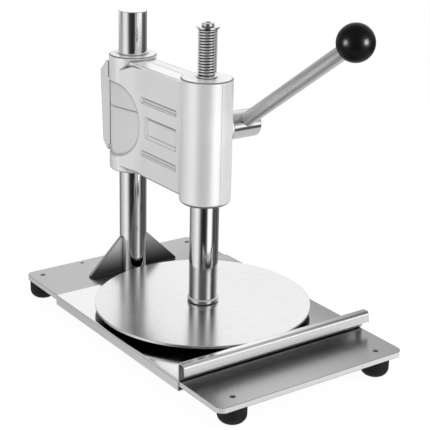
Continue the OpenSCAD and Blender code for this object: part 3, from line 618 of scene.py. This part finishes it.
# Grey levels of the coat, of the painted shade and painted light laid over it, and of the seam
COAT_GREYS = (0.80, 0.86)
CORNER_SHADE_GREY = 0.07
RIM_SHADE_GREY = 0.16
SOFT_EDGE_SHADE_GREY = 0.4
EDGE_SHADE_LINE_GREY = 0.2
PAINTED_LIGHT_GREY = 1.0
ARC_LIGHT_GREY = 0.78
SEAM_GREY = 0.4
SHADE_LINE_GREY = 0.1
LUG_SHADE_LINE_GREY = 0.16
# How much painted light evens out the shade on the panel's lower arc, and how much painted shade darkens
# the panel and how much the panel is flattened
ARC_LIGHT_SHARE = 0.75
PANEL_SHADE = 0.05
PANEL_FLATNESS = 0.85
# Rounding of the edges by the coat, and the speckle's height as a share of the seam's depth
COAT_ROUNDING = 0.0008
SPECKLE_SHARE = 0.15
SEAM_DEPTH = 0.00006


def painted_rim_and_under_shade(tree, axes, facing):
    """Painted shade on undersides, and on the round edges of the bosses' tops."""
    under = share_along(tree, facing[2], *UNDERSIDE)
    rim = product(tree, share_along(tree, facing[2], *ROUND_FOOT), share_along(tree, facing[2], *ROUND_TOP),
                  share_along(tree, axes[2], *RIM_START))
    return math_node(tree, "MAXIMUM", under, rim)


def painted_lit_pocket_wall(tree, axes, facing, beside):
    """The pocket's wall behind its opening, which faces the operator's light: painted light, a white wall.
    """
    return product(tree, share_along(tree, facing[1], *FORWARD),
                   share_between(tree, axes[1], *POCKET_RUN, fade=POCKET_FADE),
                   share_along(tree, axes[2], *POCKET_TOP), share_along(tree, beside, *UNDER_CHEEK_X))


def arm_shade_lines(tree, axes, beside):
    """Painted shade lines along the crowned arm: its ridge, and the foot of its two slopes."""
    on_top = product(tree, share_along(tree, axes[2], *(ARM_TOP_Z - below for below in ARM_TOP_START)),
                     share_between(tree, axes[1], *ARM_RUN, fade=ARM_RUN_FADE))
    ridge = share_along(tree, beside, *RIDGE_LINE)
    slopes = share_along(tree, distance(tree, beside, ARM_SLOPE_X), *THIN_LINE)
    return product(tree, on_top, math_node(tree, "MAXIMUM", ridge, slopes))


def lug_shade_line(tree, axes):
    """Painted shade line where the clamp's lug meets the boss, which steps forward beside the panel."""
    stepped = math_node(tree, "LESS_THAN", distance(tree, axes[2], PANEL_Z), PANEL_BACK_HALF)
    place = math_node(tree, "SUBTRACT", LUG_LINE_Y, math_node(tree, "MULTIPLY", stepped, LUG_LINE_STEP))
    return share_along(tree, distance(tree, axes[1], place), *LUG_LINE)


def satin_casting():
    """Silver coat on the casting: slightly uneven, edges softened by the coat. Painted shade darkens its
    corners, undersides, the bosses' rims, its edges, the panel and lines on it, and painted light brightens
    the pocket's wall and the panel's lower arc. The round panel at the column is flat, with a painted shade
    line for the step across it."""
    material, tree, shader = new_material("head_satin", metallic=0.45)
    axes = object_axes(tree)
    facing = facing_axes(tree)
    beside = math_node(tree, "ABSOLUTE", axes[0])
    clouds = noise(tree, scale=14.0, detail=3.0)
    speckle = noise(tree, FINE, detail=1.0)

    along_y, along_z = (math_node(tree, "POWER", math_node(tree, "SUBTRACT", axis, centre), 2.0)
                        for axis, centre in ((axes[1], PANEL_Y), (axes[2], PANEL_Z)))
    away = math_node(tree, "SQRT", math_node(tree, "ADD", along_y, along_z))
    panel = product(tree, share_along(tree, away, PANEL_R, PANEL_R - PANEL_FADE),
                    share_along(tree, axes[1], *PANEL_BACK))
    on_step = share_along(tree, distance(tree, axes[2], PANEL_Z + PANEL_STEP), *THIN_LINE)
    arc = product(tree, share_along(tree, axes[2], *(PANEL_Z - drop for drop in ARC_DROP)),
                  share_between(tree, away, PANEL_R - ARC_INWARD, PANEL_R + ARC_OUTWARD, fade=PANEL_FADE))
    off_seam = share_along(tree, beside, *SEAM)

    coat = noise_grey(tree, clouds, *COAT_GREYS)
    # Painted shade and painted light laid over the coat, one layer at a time; the seam's grey is its own
    coat = paint_corner_shade(tree, coat, CORNER_SHADE_GREY, reach=0.005, full=0.5, none=0.97)
    coat = paint(tree, coat, painted_rim_and_under_shade(tree, axes, facing), RIM_SHADE_GREY)
    coat = paint(tree, coat, edge_share(tree, reach=0.002, none=0.998, full=0.955), SOFT_EDGE_SHADE_GREY)
    coat = paint(tree, coat, edge_share(tree, reach=0.0007), EDGE_SHADE_LINE_GREY)
    coat = paint(tree, coat, painted_lit_pocket_wall(tree, axes, facing, beside), PAINTED_LIGHT_GREY)
    coat = paint(tree, coat, product(tree, arc, ARC_LIGHT_SHARE), ARC_LIGHT_GREY)
    coat = blend_colour(tree, off_seam, grey(SEAM_GREY), coat)
    coat = paint(tree, coat, arm_shade_lines(tree, axes, beside), SHADE_LINE_GREY)
    coat = paint(tree, coat, product(tree, panel, PANEL_SHADE), SHADE_LINE_GREY)
    coat = paint(tree, coat, lug_shade_line(tree, axes), LUG_SHADE_LINE_GREY)
    coat = paint(tree, coat, product(tree, panel, on_step), SHADE_LINE_GREY)
    feed(tree, shader.inputs["Base Color"], coat)
    vary(tree, shader, "Roughness", clouds, low=0.27, high=0.33)

    soft_edge = new_node(tree, "ShaderNodeBevel", {"Radius": COAT_ROUNDING}, samples=6).outputs[0]
    sideways = new_node(tree, "ShaderNodeCombineXYZ", {0: math_node(tree, "SIGN", axes[0])}).outputs[0]
    turned = new_node(tree, "ShaderNodeMix",
                      {0: product(tree, panel, PANEL_FLATNESS), 4: soft_edge, 5: sideways},
                      data_type="VECTOR").outputs[1]
    normal = new_node(tree, "ShaderNodeVectorMath", {0: turned}, operation="NORMALIZE").outputs[0]
    relief = math_node(tree, "ADD", product(tree, speckle, SPECKLE_SHARE), off_seam)
    bump(tree, shader, relief, SEAM_DEPTH, normal)
    return material


# Rubber, knob, and the plain metals

def black_rubber():
    material, tree, shader = new_material("foot_rubber", metallic=0.0, Specular_IOR_Level=0.25)
    grain = noise(tree, FINE)
    feed(tree, shader.inputs["Base Color"], noise_grey(tree, grain, dark=0.005, light=0.011))
    vary(tree, shader, "Roughness", grain, low=0.55, high=0.72)
    bump(tree, shader, grain, depth=0.00005)
    return material


def black_knob():
    material, tree, shader = new_material("knob_black", metallic=0.0, Specular_IOR_Level=0.08)
    clouds = noise(tree, scale=40.0)
    feed(tree, shader.inputs["Base Color"], noise_grey(tree, clouds, dark=0.0006, light=0.0012))
    vary(tree, shader, "Roughness", clouds, low=0.27, high=0.29)
    bump(tree, shader, clouds, depth=0.000002)
    return material


def dark_steel():
    material, tree, shader = new_material("dark_steel", metallic=1.0)
    marks = noise(tree, scale=220.0, detail=4.0)
    feed(tree, shader.inputs["Base Color"], noise_grey(tree, marks, dark=0.04, light=0.08))
    vary(tree, shader, "Roughness", marks, low=0.2625, high=0.4375)
    bump(tree, shader, marks, depth=0.00001)
    return material


def bronze():
    material, tree, shader = new_material("bush_bronze", metallic=1.0, Base_Color=(0.55, 0.38, 0.16, 1.0))
    marks = noise(tree, scale=150.0, stretch=(1, 1, 8))
    vary(tree, shader, "Roughness", marks, low=0.22, high=0.38)
    bump(tree, shader, marks, depth=0.00001)
    return material


# Grinding lines round an upright bar, lines round one along X, and plain marks
ROUND_UPRIGHT = (1.0, 1.0, 14.0)
ROUND_LEVEL = (14.0, 1.0, 1.0)
EVEN = (1.0, 1.0, 1.0)


def make_materials():
    """The material of each slot in the record."""
    return {
        "base_steel": base_steel(),
        "tray_steel": tray_steel(),
        "plate_steel": plate_steel(),
        "polished_bar": polished_bar("polished_bar", level=0.86, roughness=0.07, stretch=ROUND_UPRIGHT,
                                     corner_shade_level=0.25),
        "head_satin": satin_casting(),
        "hub_chrome": polished_bar("hub_chrome", level=0.68, roughness=0.10, stretch=ROUND_LEVEL),
        "rod_steel": rod_steel(),
        "knob_black": black_knob(),
        "foot_rubber": black_rubber(),
        # The spring takes painted shade between its turns
        "spring_steel": polished_bar("spring_steel", level=0.86, roughness=0.06, stretch=EVEN,
                                     corner_reach=0.004),
        "washer_steel": polished_bar("washer_steel", level=0.8, roughness=0.14, stretch=EVEN),
        "dark_steel": dark_steel(),
        "bush_bronze": bronze(),
    }


def dress_frame(materials):
    """Gives every CAD node the material of its slot in the record."""
    for row in frame["record"]["subparts"]:
        node = nodes[row["node"]]
        if not node.material_slots:
            node.data.materials.append(materials[row["material_slot"]])
        for holder in node.material_slots:
            holder.link = "OBJECT"
            holder.material = materials[row["material_slot"]]


# Return spring: the same wire as the CAD node's, with a round section

SPRING_TURNS = 16
WIRE_R = 0.0011
RINGS_PER_TURN = 48
WIRE_SIDES = 14
# Part of a turn that lies flat at either end
FLAT_TURNS = 0.06


def wire_ring(mesh, middle, outward):
    """Ring of points round the wire's middle, in the upright plane that holds the spring's axis."""
    ring = []
    for k in range(WIRE_SIDES):
        angle = 2 * math.pi * k / WIRE_SIDES
        offset = outward * math.cos(angle) + Vector((0, 0, math.sin(angle)))
        ring.append(mesh.verts.new(middle + offset * WIRE_R))
    return ring


def return_spring(materials):
    low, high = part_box("return_spring")
    height = high.z - low.z
    coil_r = (high.x - low.x) / 2 - WIRE_R
    rise = height - 2 * WIRE_R
    mesh = bmesh.new()
    rings = []
    for i in range(SPRING_TURNS * RINGS_PER_TURN + 1):
        turns = i / RINGS_PER_TURN
        angle = 2 * math.pi * turns
        share = min(1.0, max(0.0, (turns - FLAT_TURNS) / (SPRING_TURNS - 2 * FLAT_TURNS)))
        outward = Vector((math.cos(angle), math.sin(angle), 0))
        middle = outward * coil_r + Vector((0, 0, low.z + WIRE_R + rise * share))
        rings.append(wire_ring(mesh, middle, outward))
    for ring, following in zip(rings, rings[1:]):
        for k in range(WIRE_SIDES):
            after = (k + 1) % WIRE_SIDES
            mesh.faces.new((ring[k], ring[after], following[after], following[k]))
    mesh.faces.new(list(reversed(rings[0])))
    mesh.faces.new(rings[-1])
    bmesh.ops.recalc_face_normals(mesh, faces=mesh.faces)
    data = bpy.data.meshes.new("spring_wire")
    mesh.to_mesh(data)
    mesh.free()
    for face in data.polygons:
        face.use_smooth = True
    data.materials.append(materials["spring_steel"])
    spring = bpy.data.objects.new("spring_wire", data)
    bpy.context.scene.collection.objects.link(spring)
    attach(spring, "head")
    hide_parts("return_spring")
    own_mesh(spring)


make_camera()
make_world()
make_lights()
make_floor()
bpy.context.scene.view_settings.view_transform = "Standard"
made = make_materials()
dress_frame(made)
return_spring(made)
